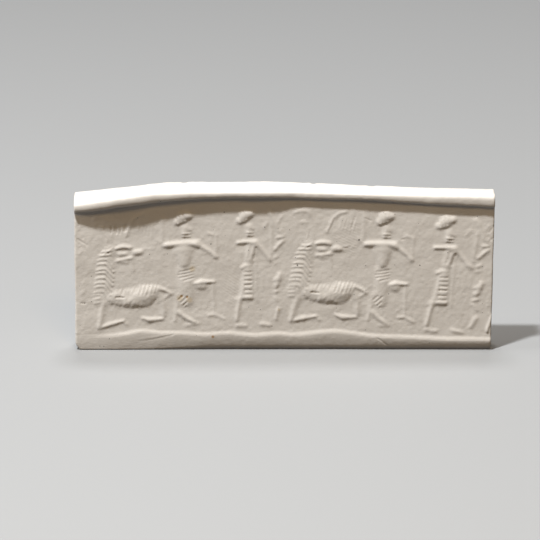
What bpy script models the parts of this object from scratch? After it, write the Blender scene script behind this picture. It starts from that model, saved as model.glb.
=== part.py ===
"""Rolled impression of a cylinder seal: one strip of pale modelling clay that stands on its long edge.

Metres, +Z up. X runs along the strip and the printed face looks along -Y. The seal was rolled along a
slightly arched track for a little over two turns, so each figure stands twice in relief. The figures are
drawn once, on the unrolled grid of the seal: u runs round the seal and v up it, in grid steps, and one
step is a share of the seal's height.
"""
import bpy
import numpy as np

# The strip: its plate without the raised clay, and how much shorter it is at its foot.
STRIP_LENGTH = 0.0800
PLATE_THICKNESS = 0.0061
END_TAPER = 0.0006
BACK_ROUND = 0.00045
CORNER_CUT = 0.0009
CORNER_HEIGHT = 0.0016

# The seal and the arched track that it rolled along.
SEAL_DIAMETER = 0.0120
SEAL_HEIGHT = 0.0264
RELIEF_DEPTH = 0.00044
TRACK_RADIUS = 0.431
TRACK_CROWN_X = -0.0012
TRACK_FOOT = 0.00385
SLIP_STEPS = 4.0

# Lip of clay pushed up over the seal's upper rim, as a round roll. The strip is highest at its crown.
LIP_HEIGHT = 0.00155
LIP_DEPTH = 0.0022
LIP_NOSE = 0.57
LIP_TOP_ROUND = 0.0013
CREASE_RADIUS = 0.00030
CROWN_HEIGHT = TRACK_FOOT + SEAL_HEIGHT + LIP_HEIGHT

# Kerb of clay under the seal's lower rim: a low ridge, a face that leans in below it, and the foot.
KERB_TOP = 0.0030
KERB_DEPTH = 0.0002
KERB_STEP = 0.0006
KERB_ROUND = 0.0002
KERB_LEAN = 0.00036
KERB_WAVE = 0.0010
FOOT_ROLL_HEIGHT = 0.0010
FOOT_ROLL_DEPTH = 0.0009

# How far three edges of the lip fall below the crown at the strip's left end.
BACK_EDGE_FALL = 0.0021
FRONT_EDGE_FALL = 0.0026
LIP_FOOT_FALL = 0.0046

# Outlines along the strip, as (share of its length from the left end, share of the size named alike).
LIP_DEPTH_LINE = ((0.0, 0.55), (0.057, 0.92), (0.13, 1.0), (0.2, 0.89), (0.32, 0.71), (0.44, 0.72),
                  (0.55, 0.48), (0.62, 0.49), (0.71, 0.57), (0.78, 0.49), (1.0, 0.53))
BACK_EDGE_LINE = ((0.0, 1.0), (0.11, 0.57), (0.24, 0.05), (0.42, 0.0), (0.66, 0.29), (0.85, 0.57),
                  (1.0, 0.71))
FRONT_EDGE_LINE = ((0.0, 1.0), (0.057, 0.65), (0.13, 0.32), (0.2, 0.08), (0.42, 0.0), (0.66, 0.16),
                   (0.82, 0.3), (1.0, 0.39))
LIP_FOOT_LINE = ((0.0, 1.0), (0.057, 0.88), (0.13, 0.69), (0.2, 0.52), (0.32, 0.37), (0.44, 0.34),
                 (0.58, 0.41), (0.7, 0.45), (0.78, 0.55), (0.92, 0.69), (1.0, 0.76))
KERB_WAVE_LINE = ((0.0, -0.5), (0.07, -0.36), (0.12, 0.03), (0.16, 0.6), (0.2, 0.32), (0.26, 0.2),
                  (0.31, -0.05), (0.36, 0.25), (0.43, -0.17), (0.49, 0.12), (0.52, -0.12), (0.62, 0.56),
                  (0.72, -0.34), (0.82, -0.65), (0.9, -0.94), (1.0, -1.0))
SLIP_LINE = ((0.0, 0.0), (0.25, 0.0), (0.33, 0.8), (0.37, 0.8), (0.43, 0.1), (0.5, -0.3), (0.56, 0.0),
             (0.93, 0.0), (0.965, 1.0), (1.0, 1.0))
KERB_LINE = ((0.0, 0.1), (0.04, 0.2), (0.1, 0.9), (0.14, 1.0), (1.0, 1.0))
FOOT_ROLL_LINE = ((0.0, 0.25), (0.14, 0.3), (0.26, 0.7), (0.34, 1.0), (1.0, 1.0))

# The seal's grid: so many steps up its height.
GRID_HEIGHT = 139.0
GRID_STEP = SEAL_HEIGHT / GRID_HEIGHT
GRID_TURN = np.pi * SEAL_DIAMETER / GRID_STEP
FADE_STEPS = 2.5
FAINT_END = 0.0034
FAINT_RIGHT_END = 0.0006
FAINT_SHARE = 0.25

# Mesh: a fine body, thinned to the triangles that its shape needs.
COLUMNS = 290
FIELD_ROWS = 96
SOFT_PASSES = 1
TRIANGLES = 9400


def through(stations, share):
    """Curve through (share, value) stations without overshoot: cubic Hermite pieces.

    The slope at a station is the harmonic mean of its two legs' slopes, and 0 where they turn.
    """
    at, value = np.array(stations).T
    leg = np.diff(value) / np.diff(at)
    turning = leg[:-1] * leg[1:] <= 0.0
    inner = np.where(turning, 0.0, 2.0 * leg[:-1] * leg[1:] / np.where(turning, 1.0, leg[:-1] + leg[1:]))
    slope = np.concatenate([leg[:1], inner, leg[-1:]])
    i = np.clip(np.searchsorted(at, share) - 1, 0, len(at) - 2)
    span = at[i + 1] - at[i]
    t = (share - at[i]) / span
    return (value[i] * (1 + 2 * t) * (1 - t) ** 2 + value[i + 1] * t * t * (3 - 2 * t)
            + span * (slope[i] * t * (1 - t) ** 2 - slope[i + 1] * t * t * (1 - t)))


class Print:
    """Height of the print at the grid points (u, v), as a share of the deepest cut of the seal.

    What is drawn comes again every turn.
    """

    def __init__(self, u, v):
        self.u = u
        self.v = v
        self.height = np.zeros_like(u)
        self.marks = np.zeros_like(u)

    def reach(self, start, end, start_width, end_width):
        """Distance to a tapered stroke over its half width: 0 on its spine, 1 at its edge."""
        middle = 0.5 * (start[0] + end[0])
        du = (self.u - middle + GRID_TURN / 2) % GRID_TURN - GRID_TURN / 2 + 0.5 * (end[0] - start[0])
        dv = self.v - start[1]
        along_u = end[0] - start[0]
        along_v = end[1] - start[1]
        share = np.clip((du * along_u + dv * along_v) / (along_u ** 2 + along_v ** 2 + 1e-9), 0.0, 1.0)
        away = np.hypot(du - share * along_u, dv - share * along_v)
        return away / (start_width + (end_width - start_width) * share)

    def stroke(self, points, widths, height, edge):
        """Rounded stroke through the points: (1 - reach squared) to the power edge, times its height."""
        legs = np.hypot(*np.diff(np.array(points, float), axis=0).T)
        turns = np.concatenate([[0.0], np.cumsum(legs)]) / legs.sum()
        half = widths[0] + (widths[1] - widths[0]) * turns
        rise = np.zeros_like(self.u)
        for i in range(len(points) - 1):
            reach = self.reach(points[i], points[i + 1], half[i], half[i + 1])
            rise = np.maximum(rise, np.clip(1.0 - reach ** 2, 0.0, 1.0) ** edge)
        return height * rise

    def form(self, points, widths, height, edge=1.3):
        """Merges a stroke with what stands there: the fifth root of the sum of fifth powers."""
        self.height = (self.height ** 5 + self.stroke(points, widths, height, edge) ** 5) ** 0.2

    def line(self, points, widths, height, edge=1.5):
        """Lays a thin stroke over the forms, or cuts them where its height is negative."""
        self.marks = self.marks + self.stroke(points, widths, height, edge)

    def relief(self):
        """Evened forms with their thin strokes, which never cut below the ground."""
        return np.maximum(soften(self.height) + self.marks, 0.0)


def draw_creature(p):
    """Horned beast, walking left with its head turned back and its mane in locks."""
    p.form([(29, 39.6), (48, 37.4)], (6.4, 9.2), 0.6, 0.65)
    p.form([(53, 39.4), (66, 42.2)], (8.0, 10.4), 1.02, 1.0)
    p.form([(44, 35.2), (63, 37.6)], (6.0, 9.2), 0.84, 0.8)
    p.form([(33, 42.0), (48, 41.2), (63, 42.4)], (6.6, 9.6), 0.52, 0.9)
    p.form([(62, 44.6), (74, 46)], (8.4, 6.4), 0.66, 1.0)
    for tuft in range(9):
        u = 36.0 + 2.6 * tuft + 1.2 * np.sin(2.2 * tuft)
        p.line([(u, 44.5), (u + 2.6, 50.0)], (1.3, 1.2), -0.06)
    for tuft in range(5):
        u = 58.5 + 4.0 * tuft + 0.8 * np.sin(3.0 * tuft)
        p.line([(u - 0.8, 42.0), (u + 3.0, 52.0)], (1.1, 1.7), -0.17)
    for tuft in range(8):
        u = 27.0 + 4.6 * tuft
        p.line([(u + 1.4, 35.0), (u - 0.6, 30.0)], (1.4, 1.2), 0.05)
    p.line([(34, 40.7), (41.5, 40.1)], (1.4, 1.2), -0.3)
    p.form([(77, 42), (81, 32), (81.5, 19)], (4.4, 3.0), 0.34)
    p.form([(77, 47.6), (84, 45.0), (90, 41.2)], (2.6, 1.7), 0.5)
    p.form([(88.5, 40.6), (80.5, 35.2)], (1.6, 1.5), 0.3)
    p.form([(20.6, 36), (14, 10.6)], (3.9, 2.9), 0.42)
    p.form([(17.6, 10.8), (25, 12.8), (26, 13.0)], (1.9, 3.3), 0.52)
    p.form([(26, 13.0), (39.5, 15.6)], (3.3, 1.5), 0.52)
    p.form([(38.5, 15.2), (43, 11.4)], (1.8, 1.4), 0.28)
    p.form([(59, 17.4), (66, 14.8)], (1.4, 3.4), 0.52)
    p.form([(66, 14.8), (80.5, 15.6)], (3.4, 1.3), 0.52)
    p.form([(20.5, 40), (23, 56), (26, 70), (28, 82), (31, 88.5)], (11.5, 7.5), 0.3, 1.0)
    for lock in range(8):
        v = 81.0 - 4.7 * lock + 0.5 * np.sin(2.4 * lock)
        left = 18.8 - 0.95 * lock
        fold = 27.5 - 0.75 * lock
        tip = 33.4 - 0.15 * lock ** 2
        height = 0.18 - 0.016 * abs(lock - 2)
        p.line([(left, v - 0.8), (left + 3.0, v), (fold, v - 0.2), (tip, v - 9.5)], (1.6, 1.9), height)
        p.line([(fold - 0.5, v - 2.8), (tip - 0.8, v - 11.8)], (1.3, 1.3), -0.14)
        p.line([(left + 2.0, v - 2.2), (fold - 1.5, v - 2.3)], (1.1, 1.1), -0.05)
    for lock in range(3):
        v = 45.0 - 4.2 * lock
        p.line([(11.0, v - 0.6), (17.0, v)], (1.4, 1.7), 0.1)
    p.line([(24, 88.8), (33, 89.6)], (1.6, 1.8), 0.2)
    p.line([(21.5, 85.0), (31, 85.4)], (1.6, 1.8), 0.22)
    p.line([(24.5, 93), (33, 82)], (1.1, 1.1), -0.12)
    p.line([(25, 86), (34, 92)], (1.1, 1.1), 0.14)
    p.form([(37.5, 91.0), (44, 92.6), (51.5, 91.2)], (2.1, 2.3), 0.56)
    p.form([(41.5, 92.2), (47, 92.4)], (3.1, 3.0), 0.5)
    p.form([(40.6, 85.2), (46.4, 84.8)], (3.3, 2.7), 0.44)
    p.form([(38.5, 78.6), (45, 79.4), (52, 80.6)], (2.2, 2.6), 0.48)
    p.form([(42, 76.6), (48.5, 76.0)], (2.0, 1.7), 0.28)
    p.form([(56.6, 86), (61.5, 86)], (4.1, 3.7), 0.56)
    p.form([(65.5, 89), (75, 88.4)], (1.3, 1.1), 0.16)
    p.form([(51.5, 78.5), (53.5, 67)], (2.6, 1.4), 0.24)


def draw_sky(p):
    """Two crescents and a small plant above the beast."""
    p.form([(49, 104), (51.5, 111), (54.5, 117.4), (59, 122.4), (67, 125)], (2.3, 1.7), 0.32)
    p.form([(17.5, 122.8), (22.5, 124.8), (29, 124.4), (31.5, 120.5)], (1.8, 1.3), 0.26)
    p.form([(24.2, 113.4), (26.2, 113)], (2.5, 2.3), 0.24)
    p.line([(26.5, 110), (30, 103), (28.5, 96)], (1.2, 1.0), 0.1)
    for stroke in range(5):
        u = 60.5 + 3.2 * stroke
        p.line([(u + 2.4, 119 - 1.2 * stroke), (u, 108 - 1.6 * stroke)], (1.0, 1.0), 0.07)


def draw_hair(p, low, middle, high):
    """Full head of hair, rolled up behind: a bulge on a bent roll, combed in slanted locks."""
    p.form([low, middle, high], (4.0, 4.0), 0.7, 0.75)
    p.form([middle, (middle[0] + 2.2, middle[1] + 1.6)], (6.6, 6.2), 0.84, 0.8)
    for lock in range(3):
        u = low[0] + 0.4 + 3.3 * lock
        v = low[1] + 1.2 * lock
        p.line([(u, v), (u - 2.4, v + 6.4)], (1.4, 1.3), -0.26)


def draw_head(p, u, v):
    """Plain turned head of common proportions, with a short beard in rows."""
    p.form([(u, v + 3.5), (u - 0.5, v - 2.0)], (4.8, 4.2), 0.4)
    p.form([(u + 2.6, v + 3.0), (u + 4.6, v + 1.0)], (1.8, 1.4), 0.38)
    for row in range(2):
        p.line([(u - 2.0, v - 2.0 - 3.2 * row), (u + 3.8, v - 2.2 - 3.0 * row)], (1.7, 1.5), 0.24)


def draw_hero(p):
    """Kilted hero with one leg raised, a standard in the left hand and a weapon in the right."""
    p.form([(84.6, 97), (84.2, 121)], (2.0, 2.2), 0.15)
    p.form([(86.5, 118.5), (83.5, 115)], (1.6, 1.4), 0.2)
    p.form([(79, 97.5), (85, 92)], (1.6, 2.2), 0.22)
    draw_hair(p, (100, 115.2), (104, 119.4), (110.5, 121.2))
    draw_head(p, 106.6, 105)
    p.form([(87.5, 91.8), (104, 92.6), (116, 92.4)], (3.2, 4.2), 0.7)
    p.form([(85.5, 91.0), (90, 91.0)], (2.4, 3.6), 0.42)
    p.form([(114.5, 91.8), (117, 90.6)], (4.4, 4.0), 0.76)
    p.form([(116, 91.4), (125, 85.6), (133.5, 78)], (2.8, 2.2), 0.44)
    p.form([(131.6, 79), (133.6, 77.2)], (2.6, 2.3), 0.46)
    p.form([(103.6, 86), (104.6, 72)], (10.4, 5.6), 0.8, 1.0)
    p.form([(105, 65), (105, 57)], (8.8, 8.4), 0.38, 1.0)
    for band in range(4):
        v = 64.4 - 3.1 * band
        left = 99.5 - 1.4 * band + 1.3 * band * max(band - 1, 0)
        p.line([(left, v - 1.0), (105, v), (112.5, v + 1.8)], (1.3, 1.5), -0.19)
    p.form([(105, 53), (104.2, 33)], (8.4, 7.2), 0.46, 0.9)
    for fringe in range(4):
        u = 97.6 + 1.9 * fringe
        v = 34.6 - 3.1 * fringe
        long = 0.6 + 0.4 * np.sin(1.6 * fringe)
        p.line([(u, v), (u + 6.4 * long, v + 6.4 * long)], (1.4, 1.3), -0.22)
    p.form([(97.5, 40), (95, 29)], (4.0, 4.0), 0.2)
    p.form([(94.6, 27), (92.4, 13)], (2.8, 2.0), 0.32)
    p.form([(96, 22.0), (103, 15.6), (110.5, 10.8)], (3.2, 2.2), 0.52)
    p.form([(104, 7.6), (114, 9.0)], (2.0, 1.8), 0.22)
    p.form([(113, 50.8), (118.5, 52.2)], (1.6, 3.2), 0.74)
    p.form([(118.5, 52.2), (131, 52.0)], (3.2, 1.2), 0.66)
    p.form([(117.6, 48.8), (119.4, 47.8)], (5.8, 4.8), 0.54, 0.9)
    p.form([(129.2, 49), (129.6, 34), (129.8, 20)], (2.0, 1.7), 0.2)
    p.form([(124, 16.8), (130, 17.8), (140, 13.0)], (1.9, 1.4), 0.34)
    p.form([(133.6, 80), (134.2, 101)], (1.8, 1.5), 0.18)
    p.form([(127, 102.2), (131, 100.6)], (1.8, 1.6), 0.28)


def draw_attendant(p):
    """Standing figure in a long robe of rolled rows, with a staff in the right hand."""
    draw_hair(p, (158.6, 114.6), (163.4, 118.6), (171.2, 121.8))
    draw_head(p, 169, 104.6)
    p.form([(155.5, 91.8), (166, 92.6), (176, 92.4)], (2.0, 3.4), 0.62)
    p.form([(174, 92), (177, 89.6)], (3.4, 3.6), 0.56)
    p.form([(177, 90.4), (184, 83), (191, 75)], (3.1, 2.6), 0.42)
    p.form([(190, 75.6), (191.6, 73.4)], (2.8, 2.4), 0.44)
    p.form([(172.4, 88), (169, 74)], (7.4, 5.8), 0.5, 1.0)
    p.line([(171.4, 88), (168.4, 77)], (2.4, 2.2), -0.15)
    p.line([(176.4, 86), (173.8, 75)], (2.2, 2.0), -0.22)
    p.form([(160, 65.6), (164, 68.4), (169.5, 68.6)], (2.2, 2.6), 0.54)
    p.form([(166.8, 65), (166.4, 38)], (6.2, 7.4), 0.52, 0.9)
    p.form([(163.4, 62), (161.4, 46), (158.4, 34)], (2.4, 3.2), 0.44)
    for v, depth in ((61.4, 0.19), (57.0, 0.19), (52.4, 0.26), (48.0, 0.31), (42.6, 0.25), (38.0, 0.19)):
        p.line([(163.4, v), (170.6, v + 0.1)], (1.3, 1.3), -depth)
    p.form([(161.6, 35.0), (170.6, 35.2)], (2.8, 2.8), 0.7, 1.0)
    p.form([(157.6, 34), (155.4, 24), (153.2, 11)], (3.2, 2.2), 0.5)
    p.form([(151.3, 31.6), (156.5, 34.6)], (1.3, 1.3), 0.24)
    p.form([(175.6, 74), (176.4, 32)], (1.8, 1.8), 0.16)
    p.form([(153.5, 5.8), (163.5, 5.4)], (3.4, 3.0), 0.3, 1.6)
    p.form([(180.5, 7.2), (190.5, 5.8)], (3.0, 2.6), 0.34, 1.6)
    p.form([(192.5, 80), (192.9, 112)], (1.8, 1.4), 0.18)
    p.form([(185.5, 107), (188, 112)], (2.5, 2.1), 0.18)


def draw_palm(p):
    """Palm between the scenes: leaves to the right of a jointed trunk."""
    p.form([(-8, 123.4), (-2, 112.6)], (2.6, 2.4), 0.3)
    p.form([(-2, 112.6), (1.6, 104.5), (4.4, 100.8)], (2.4, 1.6), 0.3)
    p.form([(0.5, 112.6), (5.5, 119.5)], (1.6, 1.4), 0.18)
    p.form([(0, 103.5), (6.5, 104.5)], (1.5, 1.3), 0.16)
    p.form([(0.6, 97.0), (6, 97.8)], (1.9, 1.5), 0.44)
    p.form([(-2.4, 84.5), (1.4, 88.8), (6, 93.6)], (2.6, 2.1), 0.42)
    p.form([(-2.6, 75.5), (1.4, 77.8)], (1.8, 1.4), 0.26)
    p.form([(-2.6, 69.6), (0.4, 71.2)], (1.4, 1.2), 0.16)
    p.form([(2.6, 58.5), (-1, 46)], (3.1, 2.8), 0.42)
    p.form([(2.2, 53.6), (3.0, 56.6)], (2.6, 1.8), 0.5)
    p.form([(-0.6, 47.4), (1.6, 49.0)], (2.8, 1.8), 0.5)
    p.form([(-2.2, 53.0), (-0.6, 55.0)], (1.8, 1.6), 0.4)
    p.form([(-1.8, 40.2), (1, 41.6)], (1.9, 1.7), 0.34)
    p.form([(-2, 35.6), (1, 30.5)], (1.8, 1.6), 0.26)
    p.form([(1.4, 22.5), (-1.4, 12)], (2.4, 1.8), 0.38)


def seal_grid(x, z):
    """Place of the strip's points on the unrolled seal, from polar coordinates about the track's centre.

    The seal slipped a little along its track, most before the strip's right end.
    """
    centre_z = TRACK_FOOT + SEAL_HEIGHT / 2 - TRACK_RADIUS
    from_centre = np.hypot(x - TRACK_CROWN_X, z - centre_z)
    angle = np.arctan2(x - TRACK_CROWN_X, z - centre_z)
    slip = SLIP_STEPS * through(SLIP_LINE, np.clip(x / STRIP_LENGTH + 0.5, 0.0, 1.0))
    u = TRACK_RADIUS * angle / GRID_STEP - slip
    v = (from_centre - TRACK_RADIUS + SEAL_HEIGHT / 2) / GRID_STEP
    return u, v


def printed(x, z):
    """Relief of all figures at the strip's points."""
    p = Print(*seal_grid(x, z))
    for draw in (draw_palm, draw_creature, draw_sky, draw_hero, draw_attendant):
        draw(p)
    return p.relief()


def bend(start, corner, end, share):
    """Round corner: the quadratic curve from start to end that heads for the corner."""
    return [a * (1 - share) ** 2 + 2 * b * share * (1 - share) + c * share ** 2
            for a, b, c in zip(start, corner, end)]


def run(start, end, share):
    """Straight line from start to end."""
    return [a + (b - a) * share for a, b in zip(start, end)]


def kerb_height(share):
    """Top of the kerb, at the foot of the track and waving about it."""
    return KERB_TOP + KERB_WAVE * through(KERB_WAVE_LINE, share)


def lip_foot_height(share):
    """Lower edge of the lip, where it folds over the print."""
    return CROWN_HEIGHT - LIP_FOOT_FALL * through(LIP_FOOT_LINE, share)


def field_share(share, y, z):
    """1 on the printed field, falling to 0 at the kerb, at the lip's crease and behind the front."""
    low = (kerb_height(share) + KERB_STEP)[:, None]
    high = lip_foot_height(share)[:, None]
    fade = FADE_STEPS * GRID_STEP
    rising = np.clip((z - low) / fade + 0.4, 0.0, 1.0)
    falling = np.clip((high - z) / fade, 0.0, 1.0)
    from_left = (share * STRIP_LENGTH - FAINT_END) / fade
    from_right = ((1.0 - share) * STRIP_LENGTH - FAINT_RIGHT_END) / fade
    ends = np.clip(np.minimum(from_left, from_right) + 0.5, FAINT_SHARE, 1.0)[:, None]
    return rising * falling * ends * (y < 0.5 * PLATE_THICKNESS)


def soften(height):
    """Evens the print out along both ways of the grid: each point takes a quarter of either neighbour."""
    for axis in (0, 1):
        for _ in range(SOFT_PASSES):
            height = 0.5 * height + 0.25 * (np.roll(height, 1, axis) + np.roll(height, -1, axis))
    return height


def section(share):
    """Outline of the strip at each share of its length: kerb, field, lip, top, back and underside."""
    level = np.zeros_like(share)
    lip_y = -LIP_DEPTH * through(LIP_DEPTH_LINE, share)
    front_edge = CROWN_HEIGHT - FRONT_EDGE_FALL * through(FRONT_EDGE_LINE, share)
    back_edge = CROWN_HEIGHT - BACK_EDGE_FALL * through(BACK_EDGE_LINE, share)
    lip_foot = lip_foot_height(share)
    kerb_top = kerb_height(share)
    roll = through(FOOT_ROLL_LINE, share)
    roll_z = FOOT_ROLL_HEIGHT * roll
    standing = through(KERB_LINE, share)
    kerb_y = -KERB_DEPTH * standing
    lean = KERB_LEAN * kerb_top / KERB_TOP * (0.4 + 0.6 * standing)
    foot_y = kerb_y + lean
    roll_y = foot_y + FOOT_ROLL_DEPTH * roll
    belly_y = kerb_y + 0.15 * lean
    belly_z = 0.5 * (roll_z + kerb_top)
    toe_z = 0.3 * roll_z
    toe_y = foot_y + (foot_y - belly_y) * (roll_z - toe_z) / (belly_z - roll_z)
    brim_y = 0.7 * kerb_y
    brim_z = kerb_top + 0.4 * KERB_STEP
    step_z = kerb_top + KERB_STEP
    back_y = level + PLATE_THICKNESS
    inner_y = back_y - BACK_ROUND
    crease_z = lip_foot - CREASE_RADIUS
    crease_y = 0.4 * lip_y
    nose_z = lip_foot + LIP_NOSE * (front_edge - lip_foot)
    brow_y = lip_y + LIP_TOP_ROUND
    pieces = (
        (bend, ((roll_y, level), (toe_y, toe_z), (foot_y, roll_z)), 3),
        (bend, ((foot_y, roll_z), (belly_y, belly_z), (kerb_y, kerb_top - KERB_ROUND)), 6),
        (bend, ((kerb_y, kerb_top - KERB_ROUND), (kerb_y, kerb_top), (brim_y, brim_z)), 3),
        (bend, ((brim_y, brim_z), (level, step_z), (level, step_z + 0.4 * KERB_STEP)), 3),
        (run, ((level, step_z + 0.4 * KERB_STEP), (level, crease_z)), FIELD_ROWS),
        (bend, ((level, crease_z), (level, lip_foot), (crease_y, lip_foot)), 3),
        (bend, ((crease_y, lip_foot), (lip_y, lip_foot), (lip_y, nose_z)), 5),
        (bend, ((lip_y, nose_z), (lip_y, front_edge), (brow_y, front_edge)), 5),
        (run, ((brow_y, front_edge), (inner_y, back_edge)), 5),
        (bend, ((inner_y, back_edge), (back_y, back_edge), (back_y, back_edge - BACK_ROUND)), 2),
        (run, ((back_y, back_edge - BACK_ROUND), (back_y, level + BACK_ROUND)), 4),
        (bend, ((back_y, level + BACK_ROUND), (back_y, level), (inner_y, level)), 2),
        (run, ((inner_y, level), (roll_y, level)), 3),
    )
    outline = [curve(*corners, row / rows) for curve, corners, rows in pieces for row in range(rows)]
    return np.array(outline).transpose(1, 2, 0)


def strip_ends(z):
    """Where the strip begins and ends along X at each height: shorter at the foot, a corner cut."""
    taper = END_TAPER * (1.0 - z / CROWN_HEIGHT)
    corner = CORNER_CUT * np.clip(1.0 - z / CORNER_HEIGHT, 0.0, 1.0) ** 2
    return 0.25 * taper + corner - STRIP_LENGTH / 2, STRIP_LENGTH / 2 - taper


def strip_points():
    """Points of the whole strip as a grid: one closed section for each column along X."""
    share = np.linspace(0.0, 1.0, COLUMNS)
    y, z = section(share)
    left, right = strip_ends(z)
    x = left + (right - left) * share[:, None]
    y = y - RELIEF_DEPTH * printed(x, z) * field_share(share, y, z)
    return np.stack([x, y, z], axis=2)


def clay():
    """Fired modelling clay: warm white and matt."""
    material = bpy.data.materials.new("pale_clay")
    material.use_nodes = True
    shader = material.node_tree.nodes["Principled BSDF"]
    shader.inputs["Base Color"].default_value = (0.68, 0.64, 0.57, 1.0)
    shader.inputs["Roughness"].default_value = 0.62
    shader.inputs["Metallic"].default_value = 0.0
    return material


def seal_impression():
    """The strip as one closed body, thinned where it is flat."""
    points = strip_points()
    box_low = points.min(axis=(0, 1))
    box_high = points.max(axis=(0, 1))
    middle = 0.5 * (box_low + box_high)
    points -= (middle[0], middle[1], box_low[2])
    columns, rows = points.shape[:2]
    index = np.arange(columns * rows).reshape(columns, rows)
    here = index[:-1]
    there = index[1:]
    quads = np.stack([here, there, np.roll(there, -1, 1), np.roll(here, -1, 1)], axis=2).reshape(-1, 4)
    faces = quads.tolist() + [index[0].tolist(), index[-1][::-1].tolist()]
    mesh = bpy.data.meshes.new("seal_impression")
    mesh.from_pydata(points.reshape(-1, 3).tolist(), [], faces)
    mesh.materials.append(clay())
    strip = bpy.data.objects.new("seal_impression", mesh)
    bpy.context.scene.collection.objects.link(strip)
    thin = strip.modifiers.new("thin", "DECIMATE")
    thin.ratio = TRIANGLES / (2.0 * len(quads))
    mesh.shade_smooth()
    return strip


for old in list(bpy.data.objects):
    bpy.data.objects.remove(old)
seal_impression()
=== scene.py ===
"""Looks of a rolled cylinder-seal impression: the fine surface of its clay, a pale floor and soft light.

Metres, +Z up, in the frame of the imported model. The strip is one surface, worked out as a grid of
closed sections along X. The figures are drawn once, on the unrolled grid of the seal: u runs round the
seal and v up it, in grid steps, and one step is a share of the seal's height.
"""

import bpy
import numpy as np
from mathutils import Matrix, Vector


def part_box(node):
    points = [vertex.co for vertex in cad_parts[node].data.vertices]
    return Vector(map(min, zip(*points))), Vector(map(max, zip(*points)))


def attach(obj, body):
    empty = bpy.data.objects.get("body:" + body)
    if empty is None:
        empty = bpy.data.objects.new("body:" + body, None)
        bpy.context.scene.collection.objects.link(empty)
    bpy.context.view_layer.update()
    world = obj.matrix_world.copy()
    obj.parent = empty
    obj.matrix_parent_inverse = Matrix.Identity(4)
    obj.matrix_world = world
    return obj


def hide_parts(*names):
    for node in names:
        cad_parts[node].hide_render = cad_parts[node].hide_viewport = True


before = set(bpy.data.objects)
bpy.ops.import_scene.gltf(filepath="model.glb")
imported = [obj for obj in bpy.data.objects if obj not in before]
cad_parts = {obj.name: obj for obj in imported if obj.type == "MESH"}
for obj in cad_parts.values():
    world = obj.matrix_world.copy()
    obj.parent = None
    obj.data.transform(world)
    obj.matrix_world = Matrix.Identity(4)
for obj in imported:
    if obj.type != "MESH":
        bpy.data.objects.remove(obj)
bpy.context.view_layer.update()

# The strip: its plate without the raised clay, and how much shorter it is at its foot.
STRIP_LENGTH = 0.0800
PLATE_THICKNESS = 0.0061
MIDDLE_Y = PLATE_THICKNESS / 2
END_TAPER = 0.0006
LEFT_TAPER_SHARE = 0.25
BACK_ROUND = 0.00045
CORNER_CUT = 0.0009
CORNER_HEIGHT = 0.0016

# The seal and the arched track that it rolled along.
SEAL_DIAMETER = 0.0120
SEAL_HEIGHT = 0.0264
RELIEF_DEPTH = 0.00044
TRACK_RADIUS = 0.431
TRACK_CROWN_X = -0.0012
TRACK_FOOT = 0.00385
TRACK_CENTRE_Z = TRACK_FOOT + SEAL_HEIGHT / 2 - TRACK_RADIUS
SLIP_STEPS = 4.0

# Lip of clay pushed up over the seal's upper rim, as a round roll. The strip is highest at its crown.
LIP_HEIGHT = 0.00155
LIP_DEPTH = 0.0022
LIP_NOSE = 0.57
LIP_TOP_ROUND = 0.0013
CREASE_RADIUS = 0.00030
CREASE_DEPTH_SHARE = 0.4
CROWN_HEIGHT = TRACK_FOOT + SEAL_HEIGHT + LIP_HEIGHT

# Kerb of clay under the seal's lower rim: a low ridge, a face that leans in below it, and the foot.
KERB_TOP = 0.0030
KERB_DEPTH = 0.0002
KERB_STEP = 0.0006
KERB_ROUND = 0.0002
KERB_LEAN = 0.00036
LEAN_WHERE_FLAT = 0.4
BELLY_SHARE = 0.15
BRIM_DEPTH_SHARE = 0.7
BRIM_STEP_SHARE = 0.4
KERB_WAVE = 0.0010
FOOT_ROLL_HEIGHT = 0.0010
FOOT_ROLL_DEPTH = 0.0009
TOE_SHARE = 0.3

# How far three edges of the lip fall below the crown at the strip's left end.
BACK_EDGE_FALL = 0.0021
FRONT_EDGE_FALL = 0.0026
LIP_FOOT_FALL = 0.0046

# Outlines along the strip, as (share of its length from the left end, share of the size named alike).
LIP_DEPTH_LINE = ((0.0, 0.55), (0.057, 0.92), (0.13, 1.0), (0.2, 0.89), (0.32, 0.71), (0.44, 0.72),
                  (0.55, 0.48), (0.62, 0.49), (0.71, 0.57), (0.78, 0.49), (1.0, 0.53))
BACK_EDGE_LINE = ((0.0, 1.0), (0.11, 0.57), (0.24, 0.05), (0.42, 0.0), (0.66, 0.29), (0.85, 0.57),
                  (1.0, 0.71))
FRONT_EDGE_LINE = ((0.0, 1.0), (0.057, 0.65), (0.13, 0.32), (0.2, 0.08), (0.42, 0.0), (0.66, 0.16),
                   (0.82, 0.3), (1.0, 0.39))
LIP_FOOT_LINE = ((0.0, 1.0), (0.057, 0.88), (0.13, 0.69), (0.2, 0.52), (0.32, 0.37), (0.44, 0.34),
                 (0.58, 0.41), (0.7, 0.45), (0.78, 0.55), (0.92, 0.69), (1.0, 0.76))
KERB_WAVE_LINE = ((0.0, -0.5), (0.07, -0.36), (0.12, 0.03), (0.16, 0.6), (0.2, 0.32), (0.26, 0.2),
                  (0.31, -0.05), (0.36, 0.25), (0.43, -0.17), (0.49, 0.12), (0.52, -0.12), (0.62, 0.56),
                  (0.72, -0.34), (0.82, -0.65), (0.9, -0.94), (1.0, -1.0))
SLIP_LINE = ((0.0, 0.0), (0.25, 0.0), (0.33, 0.8), (0.37, 0.8), (0.43, 0.1), (0.5, -0.3), (0.56, 0.0),
             (0.93, 0.0), (0.965, 1.0), (1.0, 1.0))
KERB_LINE = ((0.0, 0.1), (0.04, 0.2), (0.1, 0.9), (0.14, 1.0), (1.0, 1.0))
FOOT_ROLL_LINE = ((0.0, 0.25), (0.14, 0.3), (0.26, 0.7), (0.34, 1.0), (1.0, 1.0))

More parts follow.
